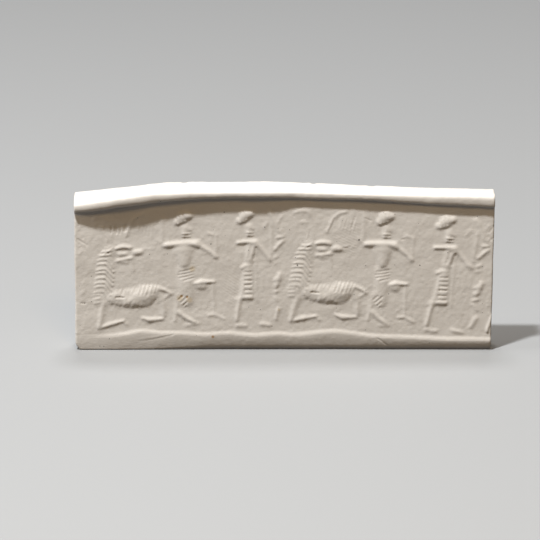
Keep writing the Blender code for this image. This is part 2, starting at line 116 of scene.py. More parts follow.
# The seal's grid: so many steps up its height.
GRID_HEIGHT = 139.0
GRID_STEP = SEAL_HEIGHT / GRID_HEIGHT
GRID_TURN = np.pi * SEAL_DIAMETER / GRID_STEP

# The print fades over a few steps. What is left of it at the kerb and at a limit near either cut end, how
# far in from the ends those limits are, and the share that stays beyond them.
FADE_STEPS = 2.5
KERB_FADE = 0.4
END_FADE = 0.5
FAINT_LEFT_END = 0.0034
FAINT_RIGHT_END = 0.0006
FAINT_SHARE = 0.25

# Fine grid: columns along the strip, rows up its printed field, and the round of its cut ends.
COLUMNS = 420
FIELD_ROWS = 142
SOFT_PASSES = 2
BLEND_ROWS = 3
END_ROUND = 0.00030
END_ROUND_STEPS = 4
CAP_CLOSING = (0.95, 0.75, 0.55, 0.36, 0.2)
TINY = 1e-12

# How uneven each zone of the clay is, and the noises that make it so, each with its own seed.
UNEVENNESS = {"kerb": 0.3, "field": 0.55, "lip": 0.8, "top": 0.6, "back": 0.12, "under": 0.0}
CAP_UNEVENNESS = 0.3
LATTICE_SIDE = 64
SWELL_HEIGHT = 0.00010
SWELL_CELL = 0.0045
SWELL_SEED = 3
LUMP_HEIGHT = 0.000042
LUMP_CELL = 0.0016
LUMP_SEED = 5
PEEL_HEIGHT = 0.00002
PEEL_CELL = 0.0006
PEEL_SEED = 7
RAGGED_HEIGHT = 0.00005
RAGGED_CELL = (0.0012, 0.004, 0.004)
RAGGED_SEED = 11

# Nicks in the top's back edge, as (x, half width, depth), and how far in from the back they reach.
BACK_NICKS = ((-0.0190, 0.0006, 0.0002), (0.0055, 0.0005, 0.00022), (0.0166, 0.0007, 0.00018))
NICK_REACH = 0.0012

# Finger ridges, as patches of (middle u, middle v, reach along u, reach along v, turn in radians).
FINGER_PATCHES = ((-50.0, 48.0, 15.0, 22.0, 0.6), (70.0, 96.0, 14.0, 16.0, 0.4),
                  (-18.0, 92.0, 9.0, 20.0, 0.9))
FINGER_SPACING = 2.7
FINGER_SHARE = 0.05
WAVER = 0.6
WAVER_RATE = 0.2

# Rough coat of the beast, in grid steps: its middle, its reach, the slant of its lumps and their size.
COAT_MIDDLE = (51.0, 40.0)
COAT_REACH = (25.0, 10.0)
COAT_SLANT = (0.5, 0.87)
COAT_CELL = (4.6, 2.6, 1.0)
COAT_SHARE = 0.13
COAT_SEED = 13

# Clay: two colours that mottle it, its roughness, smears, grain and specks. A noise is a scale and a
# detail, and of the speck noise's cells only those above its rarity hold a speck.
CLAY_DARK = (0.70, 0.645, 0.585)
CLAY_LIGHT = (0.78, 0.73, 0.672)
CLAY_ROUGHNESS = 0.62
MOTTLE_NOISE = (260.0, 4.0)
SMEAR_NOISE = (900.0, 3.0)
SMEAR_RANGE = (0.62, 0.75)
GRAIN_NOISE = (2600.0, 3.0)
GRAIN_HEIGHT = 0.00004
GRAIN_STRENGTH = 0.8
SPECK_SCALE = 900.0
SPECK_SIZE = 0.13
SPECK_RARITY = 0.88

# Stains of the clay, and near-black painted shade for pinholes, each as a colour and how far it covers.
SMEAR = ((0.62, 0.57, 0.50), 0.4)
RUST = ((0.36, 0.17, 0.03), 0.9)
FAINT_RUST = ((0.62, 0.48, 0.28), 0.5)
SPECK = ((0.16, 0.14, 0.12), 0.8)
# Painted shade: near-black colour that stands in for the shade inside pinholes.
PINHOLE_SHADE = ((0.05, 0.04, 0.035), 0.95)

# Small spots on the face, as (u, v, radius) in grid steps. Each is full within a share of its radius.
FACE_Y = -0.0020
SPOT_CORE = 0.4
# Pinholes: spots of painted shade that stand in for the dark inside tiny holes.
PINHOLE_SHADE_SPOTS = ((19.5, 68.2, 1.1), (-66.5, 91.0, 0.9), (-13.0, 107.5, 0.8), (110.0, 138.5, 0.9),
            (142.0, 72.5, 0.9), (-52.5, 123.5, 0.9), (-185.5, -9.0, 1.0), (-181.5, -9.5, 0.9),
            (-152.5, -12.5, 0.9), (-197.0, 36.5, 1.0), (80.2, 95.8, 1.2), (-149.5, 91.0, 0.8),
            (-18.0, 22.0, 0.8))
RUST_SPOTS = ((-98.2, 38.2, 2.0), (-92.4, 37.2, 1.8), (-67.6, -5.0, 2.2))
FAINT_SPOTS = ((-100.0, 36.0, 4.0), (-90.0, 34.0, 4.0), (1.0, 22.0, 2.0), (-86.0, 66.0, 4.0))

# Floor: its grey, and the flat part with the curve behind it.
FLOOR_GREY = 0.34
FLOOR_ROUGHNESS = 0.8
FLOOR_HALF_WIDTH = 1.6
FLOOR_FRONT = -1.2
FLOOR_BEND = 0.9
BEND_RADIUS = 0.5
BEND_TURN = (0.1, 1.5)
FLOOR_COLUMNS = 9
FLOOR_ROWS = 8
BEND_ROWS = 12

# Camera: its angle above the floor in degrees, what it looks at and the width that it takes in there.
CAMERA_ELEVATION = 15.0
CAMERA_DISTANCE = 1.20
CAMERA_TARGET = (-0.002717, -0.0033, 0.0162)
VIEW_WIDTH = 0.1026
SENSOR_WIDTH = 36.0

# Square lamps, as (name, place, side, watts, colour), all turned to the middle of the strip.
LAMP_TARGET = (0.0, 0.0, 0.015)
LAMPS = (("key", (-0.20, -0.30, 0.78), 0.06, 9.0, (0.95, 0.98, 1.0)),
         ("fill", (0.10, -0.66, 0.60), 0.24, 1.42, (1.0, 0.71, 0.36)),
         ("top", (0.0, 0.25, 0.80), 0.20, 3.0, (1.0, 1.0, 1.0)),
         ("side", (-0.70, -0.06, 0.25), 0.20, 2.0, (1.0, 1.0, 1.0)))
SKY_COLOUR = (1.0, 0.96, 0.94)
SKY_STRENGTH = 0.085


def through(stations, share):
    """Curve through (share, value) stations without overshoot: cubic Hermite pieces.

    The slope at a station is the harmonic mean of its two legs' slopes, and 0 where they turn.
    """
    at, value = np.array(stations).T
    leg = np.diff(value) / np.diff(at)
    turning = leg[:-1] * leg[1:] <= 0.0
    inner = np.where(turning, 0.0, 2.0 * leg[:-1] * leg[1:] / np.where(turning, 1.0, leg[:-1] + leg[1:]))
    slope = np.concatenate([leg[:1], inner, leg[-1:]])
    i = np.clip(np.searchsorted(at, share) - 1, 0, len(at) - 2)
    span = at[i + 1] - at[i]
    t = (share - at[i]) / span
    return (value[i] * (1 + 2 * t) * (1 - t) ** 2 + value[i + 1] * t * t * (3 - 2 * t)
            + span * (slope[i] * t * (1 - t) ** 2 - slope[i + 1] * t * t * (1 - t)))


class Print:
    """Height of the print at the grid points (u, v), as a share of the deepest cut of the seal.

    What is drawn comes again every turn.
    """

    def __init__(self, u, v, turn=GRID_TURN):
        self.u = u
        self.v = v
        self.turn = turn
        self.height = np.zeros_like(u)
        self.marks = np.zeros_like(u)

    def reach(self, start, end, start_width, end_width):
        """Distance to a tapered stroke over its half width: 0 on its spine, 1 at its edge."""
        middle = 0.5 * (start[0] + end[0])
        du = (self.u - middle + self.turn / 2) % self.turn - self.turn / 2 + 0.5 * (end[0] - start[0])
        dv = self.v - start[1]
        along_u = end[0] - start[0]
        along_v = end[1] - start[1]
        share = np.clip((du * along_u + dv * along_v) / (along_u ** 2 + along_v ** 2 + TINY), 0.0, 1.0)
        away = np.hypot(du - share * along_u, dv - share * along_v)
        return away / (start_width + (end_width - start_width) * share)

    def stroke(self, points, widths, height, edge):
        """Rounded stroke through the points: (1 - reach squared) to the power edge, times its height."""
        legs = np.hypot(*np.diff(np.array(points, float), axis=0).T)
        turns = np.concatenate([[0.0], np.cumsum(legs)]) / legs.sum()
        half = widths[0] + (widths[1] - widths[0]) * turns
        rise = np.zeros_like(self.u)
        for i in range(len(points) - 1):
            reach = self.reach(points[i], points[i + 1], half[i], half[i + 1])
            rise = np.maximum(rise, np.clip(1.0 - reach ** 2, 0.0, 1.0) ** edge)
        return height * rise

    def form(self, points, widths, height, edge=1.3):
        """Merges a stroke with what stands there: the fifth root of the sum of fifth powers."""
        self.height = (self.height ** 5 + self.stroke(points, widths, height, edge) ** 5) ** 0.2

    def line(self, points, widths, height, edge=1.5):
        """Lays a thin stroke over the forms, or cuts them where its height is negative."""
        self.marks = self.marks + self.stroke(points, widths, height, edge)

    def relief(self):
        """Evened forms with their thin strokes, which never cut below the ground."""
        return np.maximum(soften(self.height) + self.marks, 0.0)


def draw_creature(p):
    """Horned beast, walking left with its head turned back and its mane in locks."""
    p.form([(29, 39.6), (48, 37.4)], (6.4, 9.2), 0.6, 0.65)
    p.form([(53, 39.4), (66, 42.2)], (8.0, 10.4), 1.02, 1.0)
    p.form([(44, 35.2), (63, 37.6)], (6.0, 9.2), 0.84, 0.8)
    p.form([(33, 42.0), (48, 41.2), (63, 42.4)], (6.6, 9.6), 0.52, 0.9)
    p.form([(62, 44.6), (74, 46)], (8.4, 6.4), 0.66, 1.0)
    for tuft in range(9):
        u = 36.0 + 2.6 * tuft + 1.2 * np.sin(2.2 * tuft)
        p.line([(u, 44.5), (u + 2.6, 50.0)], (1.3, 1.2), -0.06)
    for tuft in range(5):
        u = 58.5 + 4.0 * tuft + 0.8 * np.sin(3.0 * tuft)
        p.line([(u - 0.8, 42.0), (u + 3.0, 52.0)], (1.1, 1.7), -0.17)
    for tuft in range(8):
        u = 27.0 + 4.6 * tuft
        p.line([(u + 1.4, 35.0), (u - 0.6, 30.0)], (1.4, 1.2), 0.05)
    p.line([(34, 40.7), (41.5, 40.1)], (1.4, 1.2), -0.3)
    p.form([(77, 42), (81, 32), (81.5, 19)], (4.4, 3.0), 0.34)
    p.form([(77, 47.6), (84, 45.0), (90, 41.2)], (2.6, 1.7), 0.5)
    p.form([(88.5, 40.6), (80.5, 35.2)], (1.6, 1.5), 0.3)
    p.form([(20.6, 36), (14, 10.6)], (3.9, 2.9), 0.42)
    p.form([(17.6, 10.8), (25, 12.8), (26, 13.0)], (1.9, 3.3), 0.52)
    p.form([(26, 13.0), (39.5, 15.6)], (3.3, 1.5), 0.52)
    p.form([(38.5, 15.2), (43, 11.4)], (1.8, 1.4), 0.28)
    p.form([(59, 17.4), (66, 14.8)], (1.4, 3.4), 0.52)
    p.form([(66, 14.8), (80.5, 15.6)], (3.4, 1.3), 0.52)
    p.form([(20.5, 40), (23, 56), (26, 70), (28, 82), (31, 88.5)], (11.5, 7.5), 0.3, 1.0)
    for lock in range(8):
        v = 81.0 - 4.7 * lock + 0.5 * np.sin(2.4 * lock)
        left = 18.8 - 0.95 * lock
        fold = 27.5 - 0.75 * lock
        tip = 33.4 - 0.15 * lock ** 2
        height = 0.18 - 0.016 * abs(lock - 2)
        p.line([(left, v - 0.8), (left + 3.0, v), (fold, v - 0.2), (tip, v - 9.5)], (1.6, 1.9), height)
        p.line([(fold - 0.5, v - 2.8), (tip - 0.8, v - 11.8)], (1.3, 1.3), -0.14)
        p.line([(left + 2.0, v - 2.2), (fold - 1.5, v - 2.3)], (1.1, 1.1), -0.05)
    for lock in range(3):
        v = 45.0 - 4.2 * lock
        p.line([(11.0, v - 0.6), (17.0, v)], (1.4, 1.7), 0.1)
    p.line([(24, 88.8), (33, 89.6)], (1.6, 1.8), 0.2)
    p.line([(21.5, 85.0), (31, 85.4)], (1.6, 1.8), 0.22)
    p.line([(24.5, 93), (33, 82)], (1.1, 1.1), -0.12)
    p.line([(25, 86), (34, 92)], (1.1, 1.1), 0.14)
    p.form([(37.5, 91.0), (44, 92.6), (51.5, 91.2)], (2.1, 2.3), 0.56)
    p.form([(41.5, 92.2), (47, 92.4)], (3.1, 3.0), 0.5)
    p.form([(40.6, 85.2), (46.4, 84.8)], (3.3, 2.7), 0.44)
    p.form([(38.5, 78.6), (45, 79.4), (52, 80.6)], (2.2, 2.6), 0.48)
    p.form([(42, 76.6), (48.5, 76.0)], (2.0, 1.7), 0.28)
    p.form([(56.6, 86), (61.5, 86)], (4.1, 3.7), 0.56)
    p.form([(65.5, 89), (75, 88.4)], (1.3, 1.1), 0.16)
    p.form([(51.5, 78.5), (53.5, 67)], (2.6, 1.4), 0.24)


def draw_sky(p):
    """Two crescents and a small plant above the beast."""
    p.form([(49, 104), (51.5, 111), (54.5, 117.4), (59, 122.4), (67, 125)], (2.3, 1.7), 0.32)
    p.form([(17.5, 122.8), (22.5, 124.8), (29, 124.4), (31.5, 120.5)], (1.8, 1.3), 0.26)
    p.form([(24.2, 113.4), (26.2, 113)], (2.5, 2.3), 0.24)
    p.line([(26.5, 110), (30, 103), (28.5, 96)], (1.2, 1.0), 0.1)
    for stroke in range(5):
        u = 60.5 + 3.2 * stroke
        p.line([(u + 2.4, 119 - 1.2 * stroke), (u, 108 - 1.6 * stroke)], (1.0, 1.0), 0.07)


def draw_hair(p, low, middle, high):
    """Full head of hair, rolled up behind: a bulge on a bent roll, combed in slanted locks."""
    p.form([low, middle, high], (4.0, 4.0), 0.7, 0.75)
    p.form([middle, (middle[0] + 2.2, middle[1] + 1.6)], (6.6, 6.2), 0.84, 0.8)
    for lock in range(3):
        u = low[0] + 0.4 + 3.3 * lock
        v = low[1] + 1.2 * lock
        p.line([(u, v), (u - 2.4, v + 6.4)], (1.4, 1.3), -0.26)


def draw_head(p, u, v):
    """Plain turned head of common proportions, with a short beard in rows."""
    p.form([(u, v + 3.5), (u - 0.5, v - 2.0)], (4.8, 4.2), 0.4)
    p.form([(u + 2.6, v + 3.0), (u + 4.6, v + 1.0)], (1.8, 1.4), 0.38)
    for row in range(2):
        p.line([(u - 2.0, v - 2.0 - 3.2 * row), (u + 3.8, v - 2.2 - 3.0 * row)], (1.7, 1.5), 0.24)


def draw_hero(p):
    """Kilted hero with one leg raised, between a standard at the left and a weapon at the right."""
    p.form([(84.6, 97), (84.2, 121)], (2.0, 2.2), 0.15)
    p.form([(86.5, 118.5), (83.5, 115)], (1.6, 1.4), 0.2)
    p.form([(79, 97.5), (85, 92)], (1.6, 2.2), 0.22)
    draw_hair(p, (100, 115.2), (104, 119.4), (110.5, 121.2))
    draw_head(p, 106.6, 105)
    p.form([(87.5, 91.8), (104, 92.6), (116, 92.4)], (3.2, 4.2), 0.7)
    p.form([(85.5, 91.0), (90, 91.0)], (2.4, 3.6), 0.42)
    p.form([(114.5, 91.8), (117, 90.6)], (4.4, 4.0), 0.76)
    p.form([(116, 91.4), (125, 85.6), (133.5, 78)], (2.8, 2.2), 0.44)
    p.form([(131.6, 79), (133.6, 77.2)], (2.6, 2.3), 0.46)
    p.form([(103.6, 86), (104.6, 72)], (10.4, 5.6), 0.8, 1.0)
    p.form([(105, 65), (105, 57)], (8.8, 8.4), 0.38, 1.0)
    for band in range(4):
        v = 64.4 - 3.1 * band
        left = 99.5 - 1.4 * band + 1.3 * band * max(band - 1, 0)
        p.line([(left, v - 1.0), (105, v), (112.5, v + 1.8)], (1.3, 1.5), -0.19)
    p.form([(105, 53), (104.2, 33)], (8.4, 7.2), 0.46, 0.9)
    for fringe in range(4):
        u = 97.6 + 1.9 * fringe
        v = 34.6 - 3.1 * fringe
        long = 0.6 + 0.4 * np.sin(1.6 * fringe)
        p.line([(u, v), (u + 6.4 * long, v + 6.4 * long)], (1.4, 1.3), -0.22)
    p.form([(97.5, 40), (95, 29)], (4.0, 4.0), 0.2)
    p.form([(94.6, 27), (92.4, 13)], (2.8, 2.0), 0.32)
    p.form([(96, 22.0), (103, 15.6), (110.5, 10.8)], (3.2, 2.2), 0.52)
    p.form([(104, 7.6), (114, 9.0)], (2.0, 1.8), 0.22)
    p.form([(113, 50.8), (118.5, 52.2)], (1.6, 3.2), 0.74)
    p.form([(118.5, 52.2), (131, 52.0)], (3.2, 1.2), 0.66)
    p.form([(117.6, 48.8), (119.4, 47.8)], (5.8, 4.8), 0.54, 0.9)
    p.form([(129.2, 49), (129.6, 34), (129.8, 20)], (2.0, 1.7), 0.2)
    p.form([(124, 16.8), (130, 17.8), (140, 13.0)], (1.9, 1.4), 0.34)
    p.form([(133.6, 80), (134.2, 101)], (1.8, 1.5), 0.18)
    p.form([(127, 102.2), (131, 100.6)], (1.8, 1.6), 0.28)


def draw_attendant(p):
    """Standing figure in a long robe of rolled rows, with a staff at the right."""
    draw_hair(p, (158.6, 114.6), (163.4, 118.6), (171.2, 121.8))
    draw_head(p, 169, 104.6)
    p.form([(155.5, 91.8), (166, 92.6), (176, 92.4)], (2.0, 3.4), 0.62)
    p.form([(174, 92), (177, 89.6)], (3.4, 3.6), 0.56)
    p.form([(177, 90.4), (184, 83), (191, 75)], (3.1, 2.6), 0.42)
    p.form([(190, 75.6), (191.6, 73.4)], (2.8, 2.4), 0.44)
    p.form([(172.4, 88), (169, 74)], (7.4, 5.8), 0.5, 1.0)
    p.line([(171.4, 88), (168.4, 77)], (2.4, 2.2), -0.15)
    p.line([(176.4, 86), (173.8, 75)], (2.2, 2.0), -0.22)
    p.form([(160, 65.6), (164, 68.4), (169.5, 68.6)], (2.2, 2.6), 0.54)
    p.form([(166.8, 65), (166.4, 38)], (6.2, 7.4), 0.52, 0.9)
    p.form([(163.4, 62), (161.4, 46), (158.4, 34)], (2.4, 3.2), 0.44)
    for v, depth in ((61.4, 0.19), (57.0, 0.19), (52.4, 0.26), (48.0, 0.31), (42.6, 0.25), (38.0, 0.19)):
        p.line([(163.4, v), (170.6, v + 0.1)], (1.3, 1.3), -depth)
    p.form([(161.6, 35.0), (170.6, 35.2)], (2.8, 2.8), 0.7, 1.0)
    p.form([(157.6, 34), (155.4, 24), (153.2, 11)], (3.2, 2.2), 0.5)
    p.form([(151.3, 31.6), (156.5, 34.6)], (1.3, 1.3), 0.24)
    p.form([(175.6, 74), (176.4, 32)], (1.8, 1.8), 0.16)
    p.form([(153.5, 5.8), (163.5, 5.4)], (3.4, 3.0), 0.3, 1.6)
    p.form([(180.5, 7.2), (190.5, 5.8)], (3.0, 2.6), 0.34, 1.6)
    p.form([(192.5, 80), (192.9, 112)], (1.8, 1.4), 0.18)
    p.form([(185.5, 107), (188, 112)], (2.5, 2.1), 0.18)


def draw_palm(p):
    """Palm between the scenes: leaves to the right of a jointed trunk."""
    p.form([(-8, 123.4), (-2, 112.6)], (2.6, 2.4), 0.3)
    p.form([(-2, 112.6), (1.6, 104.5), (4.4, 100.8)], (2.4, 1.6), 0.3)
    p.form([(0.5, 112.6), (5.5, 119.5)], (1.6, 1.4), 0.18)
    p.form([(0, 103.5), (6.5, 104.5)], (1.5, 1.3), 0.16)
    p.form([(0.6, 97.0), (6, 97.8)], (1.9, 1.5), 0.44)
    p.form([(-2.4, 84.5), (1.4, 88.8), (6, 93.6)], (2.6, 2.1), 0.42)
    p.form([(-2.6, 75.5), (1.4, 77.8)], (1.8, 1.4), 0.26)
    p.form([(-2.6, 69.6), (0.4, 71.2)], (1.4, 1.2), 0.16)
    p.form([(2.6, 58.5), (-1, 46)], (3.1, 2.8), 0.42)
    p.form([(2.2, 53.6), (3.0, 56.6)], (2.6, 1.8), 0.5)
    p.form([(-0.6, 47.4), (1.6, 49.0)], (2.8, 1.8), 0.5)
    p.form([(-2.2, 53.0), (-0.6, 55.0)], (1.8, 1.6), 0.4)
    p.form([(-1.8, 40.2), (1, 41.6)], (1.9, 1.7), 0.34)
    p.form([(-2, 35.6), (1, 30.5)], (1.8, 1.6), 0.26)
    p.form([(1.4, 22.5), (-1.4, 12)], (2.4, 1.8), 0.38)


def seal_grid(x, z):
    """Place of the strip's points on the unrolled seal, from polar coordinates about the track's centre.

    The seal slipped a little along its track: once in the first half and once before the right end.
    """
    from_centre = np.hypot(x - TRACK_CROWN_X, z - TRACK_CENTRE_Z)
    angle = np.arctan2(x - TRACK_CROWN_X, z - TRACK_CENTRE_Z)
    slip = SLIP_STEPS * through(SLIP_LINE, np.clip(x / STRIP_LENGTH + 0.5, 0.0, 1.0))
    u = TRACK_RADIUS * angle / GRID_STEP - slip
    v = (from_centre - TRACK_RADIUS + SEAL_HEIGHT / 2) / GRID_STEP
    return u, v


def printed(x, z):
    """Relief of all figures at the strip's points."""
    p = Print(*seal_grid(x, z))
    for draw in (draw_palm, draw_creature, draw_sky, draw_hero, draw_attendant):
        draw(p)
    return p.relief()


def draw_wear(p):
    """Strokes that come once: scratches, strands under the lip and the seal's edge at the right end."""
    p.line([(-144, -6.5), (-130, -5.2), (-118, -3.2), (-108.5, -1.2)], (1.2, 1.0), -0.09)
    p.line([(-143, -5.0), (-118, -1.8)], (1.3, 1.1), 0.05)
    p.line([(103.5, -5.5), (108, -8.2), (114, -12.5)], (1.1, 0.9), -0.16)
    p.line([(212, 9), (213.4, 17), (215.6, 27)], (2.0, 2.0), 0.3)
    p.line([(-196, 118), (-193, 104)], (1.2, 1.0), -0.14)
    p.line([(-198, 104), (-189, 97)], (1.3, 1.1), -0.16)
    p.line([(-197, 99), (-192, 92)], (1.2, 1.0), -0.14)
    p.line([(-200, 37), (-196.5, 36.6)], (1.2, 1.0), -0.2)
    p.line([(86, 118.5), (91, 116)], (1.3, 1.0), -0.2)
    for strand in range(6):
        u = -164.0 + 3.1 * strand + 0.8 * np.sin(2.0 * strand)
        p.line([(u, 114.0), (u - 0.8, 107.5 + 1.5 * np.sin(1.7 * strand))], (1.5, 1.2), -0.22)
    p.line([(62, 88.6), (66, 86.4), (72, 88.8)], (1.1, 1.0), -0.12)
    p.line([(50, 104), (53, 110), (55.4, 117)], (1.3, 1.1), -0.16)
    p.line([(72, 108), (75.5, 120)], (1.1, 1.0), -0.12)
    p.line([(122, 98), (125, 98.8)], (1.2, 1.0), -0.16)
    p.line([(204, 112), (209, 121)], (1.1, 1.0), -0.14)
    p.line([(206, 104), (211, 110)], (1.1, 1.0), -0.14)
    p.line([(203, 108), (208, 103)], (1.1, 1.0), -0.1)


def finger_ridges(u, v):
    """Slanted finger ridges: a sine across them, under a bell over each patch."""
    ridges = np.zeros_like(u)
    for middle_u, middle_v, reach_u, reach_v, turn in FINGER_PATCHES:
        across = (u - middle_u) * np.sin(turn) + (v - middle_v) * np.cos(turn)
        bell = np.exp(-((u - middle_u) / reach_u) ** 2 - ((v - middle_v) / reach_v) ** 2)
        ridges += bell * np.sin(2.0 * np.pi * across / FINGER_SPACING + WAVER * np.sin(WAVER_RATE * u))
    return ridges


def rough_coat(u, v):
    """Rough coat of the beast: slanted noise, under a bell of fourth powers over its body."""
    at_u = (u + GRID_TURN) % GRID_TURN
    along = COAT_SLANT[0] * at_u + COAT_SLANT[1] * v
    across = COAT_SLANT[1] * at_u - COAT_SLANT[0] * v
    lumps = lattice_noise(np.stack([along, across, np.zeros_like(u)], axis=-1), COAT_CELL, COAT_SEED)
    off_u = (at_u - COAT_MIDDLE[0]) / COAT_REACH[0]
    off_v = (v - COAT_MIDDLE[1]) / COAT_REACH[1]
    return np.exp(-off_u ** 4 - off_v ** 4) * lumps


def worn(x, z):
    """Height of the marks that come once: their turn is longer than the strip."""
    u, v = seal_grid(x, z)
    p = Print(u, v, 2.0 * STRIP_LENGTH / GRID_STEP)
    draw_wear(p)
    return p.marks + FINGER_SHARE * finger_ridges(u, v) + COAT_SHARE * rough_coat(u, v)


def bend(start, corner, end, share):
    """Round corner: the quadratic curve from start to end that heads for the corner."""
    return [a * (1 - share) ** 2 + 2 * b * share * (1 - share) + c * share ** 2
            for a, b, c in zip(start, corner, end)]


def run(start, end, share):
    """Straight line from start to end."""
    return [a + (b - a) * share for a, b in zip(start, end)]


def kerb_height(share):
    """Top of the kerb, at the foot of the track and waving about it."""
    return KERB_TOP + KERB_WAVE * through(KERB_WAVE_LINE, share)


def lip_foot_height(share):
    """Lower edge of the lip, where it folds over the print."""
    return CROWN_HEIGHT - LIP_FOOT_FALL * through(LIP_FOOT_LINE, share)


def field_share(share, y, z):
    """1 on the printed field, falling to 0 at the kerb, at the lip's crease and behind the front."""
    low = (kerb_height(share) + KERB_STEP)[:, None]
    high = lip_foot_height(share)[:, None]
    fade = FADE_STEPS * GRID_STEP
    rising = np.clip((z - low) / fade + KERB_FADE, 0.0, 1.0)
    falling = np.clip((high - z) / fade, 0.0, 1.0)
    from_left = (share * STRIP_LENGTH - FAINT_LEFT_END) / fade
    from_right = ((1.0 - share) * STRIP_LENGTH - FAINT_RIGHT_END) / fade
    ends = np.clip(np.minimum(from_left, from_right) + END_FADE, FAINT_SHARE, 1.0)[:, None]
    return rising * falling * ends * (y < MIDDLE_Y)


def soften(height):
    """Evens the print out along both ways of the grid: each point takes a quarter of either neighbour."""
    for axis in (0, 1):
        for _ in range(SOFT_PASSES):
            height = 0.5 * height + 0.25 * (np.roll(height, 1, axis) + np.roll(height, -1, axis))
    return height


def section(share):
    """Outline of the strip at each share of its length, as y and z grids with one zone name to a row.

    It goes round from the foot, up the front, over the top and down the back, as arcs and straight runs.
    """
    level = np.zeros_like(share)
    lip_y = -LIP_DEPTH * through(LIP_DEPTH_LINE, share)
    front_edge = CROWN_HEIGHT - FRONT_EDGE_FALL * through(FRONT_EDGE_LINE, share)
    back_edge = CROWN_HEIGHT - BACK_EDGE_FALL * through(BACK_EDGE_LINE, share)
    lip_foot = lip_foot_height(share)
    kerb_top = kerb_height(share)
    roll = through(FOOT_ROLL_LINE, share)
    roll_z = FOOT_ROLL_HEIGHT * roll
    standing = through(KERB_LINE, share)
    kerb_y = -KERB_DEPTH * standing
    lean = KERB_LEAN * kerb_top / KERB_TOP * (LEAN_WHERE_FLAT + (1.0 - LEAN_WHERE_FLAT) * standing)
    foot_y = kerb_y + lean
    roll_y = foot_y + FOOT_ROLL_DEPTH * roll
    belly_y = kerb_y + BELLY_SHARE * lean
    belly_z = 0.5 * (roll_z + kerb_top)
    toe_z = TOE_SHARE * roll_z
    toe_y = foot_y + (foot_y - belly_y) * (roll_z - toe_z) / (belly_z - roll_z)
    brim_y = BRIM_DEPTH_SHARE * kerb_y
    brim_z = kerb_top + BRIM_STEP_SHARE * KERB_STEP
    step_z = kerb_top + KERB_STEP
    ground_z = step_z + BRIM_STEP_SHARE * KERB_STEP
    back_y = level + PLATE_THICKNESS
    inner_y = back_y - BACK_ROUND
    crease_z = lip_foot - CREASE_RADIUS
    crease_y = CREASE_DEPTH_SHARE * lip_y
    nose_z = lip_foot + LIP_NOSE * (front_edge - lip_foot)
    brow_y = lip_y + LIP_TOP_ROUND
    # Each piece of the outline: its zone, its kind of curve, the curve's corners and its rows.
    pieces = (
        ("kerb", bend, ((roll_y, level), (toe_y, toe_z), (foot_y, roll_z)), 6),
        ("kerb", bend, ((foot_y, roll_z), (belly_y, belly_z), (kerb_y, kerb_top - KERB_ROUND)), 14),
        ("kerb", bend, ((kerb_y, kerb_top - KERB_ROUND), (kerb_y, kerb_top), (brim_y, brim_z)), 5),
        ("kerb", bend, ((brim_y, brim_z), (level, step_z), (level, ground_z)), 6),
        ("field", run, ((level, ground_z), (level, crease_z)), FIELD_ROWS),
        ("lip", bend, ((level, crease_z), (level, lip_foot), (crease_y, lip_foot)), 4),
        ("lip", bend, ((crease_y, lip_foot), (lip_y, lip_foot), (lip_y, nose_z)), 9),
        ("lip", bend, ((lip_y, nose_z), (lip_y, front_edge), (brow_y, front_edge)), 10),
        ("top", run, ((brow_y, front_edge), (inner_y, back_edge)), 12),
        ("top", bend, ((inner_y, back_edge), (back_y, back_edge), (back_y, back_edge - BACK_ROUND)), 4),
        ("back", run, ((back_y, back_edge - BACK_ROUND), (back_y, level + BACK_ROUND)), 8),
        ("under", bend, ((back_y, level + BACK_ROUND), (back_y, level), (inner_y, level)), 3),
        ("under", run, ((inner_y, level), (roll_y, level)), 3),
    )
    outline = [curve(*corners, row / rows) for _, curve, corners, rows in pieces for row in range(rows)]
    zones = [zone for zone, _, _, rows in pieces for _ in range(rows)]
    y, z = np.array(outline).transpose(1, 2, 0)
    return y, z, np.array(zones)


def strip_ends(z):
    """Where the strip begins and ends along X at each height.

    It tapers in proportion to the depth below the crown, and a square law cuts the lower left corner.
    """
    taper = END_TAPER * (1.0 - z / CROWN_HEIGHT)
    corner = CORNER_CUT * np.clip(1.0 - z / CORNER_HEIGHT, 0.0, 1.0) ** 2
    return LEFT_TAPER_SHARE * taper + corner - STRIP_LENGTH / 2, STRIP_LENGTH / 2 - taper


def end_columns():
    """Columns at a cut end, from the middle of its cap outwards, as their depth, inset and closing.

    Depth is the distance in from the end. The cap's columns close on the spine by shares of the way, and
    the others are inset from the outline so that a quarter circle rounds the edge.
    """
    turn = np.linspace(0.0, 0.5 * np.pi, END_ROUND_STEPS + 1)[:-1]
    depth = np.concatenate([np.zeros(len(CAP_CLOSING)), END_ROUND * (1.0 - np.cos(turn))])
    inset = np.concatenate([np.full(len(CAP_CLOSING), END_ROUND), END_ROUND * (1.0 - np.sin(turn))])
    closing = np.concatenate([CAP_CLOSING, np.zeros(len(turn))])
    return depth, inset, closing


def lattice_noise(points, cell, seed):
    """Smooth noise from -1 to 1: seeded values on a cubic lattice of that cell, blended by smoothsteps."""
    values = np.random.default_rng(seed).uniform(-1.0, 1.0, (LATTICE_SIDE,) * 3)
    at = points / np.asarray(cell)
    low = np.floor(at).astype(int)
    t = at - low
    t = t * t * (3.0 - 2.0 * t)
    total = np.zeros(points.shape[:-1])
    for corner in np.ndindex(2, 2, 2):
        weight = np.prod(np.where(corner, t, 1.0 - t), axis=-1)
        i, j, k = np.moveaxis((low + corner) % LATTICE_SIDE, -1, 0)
        total += weight * values[i, j, k]
    return total


def outward(points):
    """Unit normals of the grid: the cross product of its steps along the strip and round the section."""
    along = np.gradient(points, axis=0)
    around = np.roll(points, -1, 1) - np.roll(points, 1, 1)
    normal = np.cross(along, around)
    return normal / np.maximum(np.linalg.norm(normal, axis=2, keepdims=True), TINY)


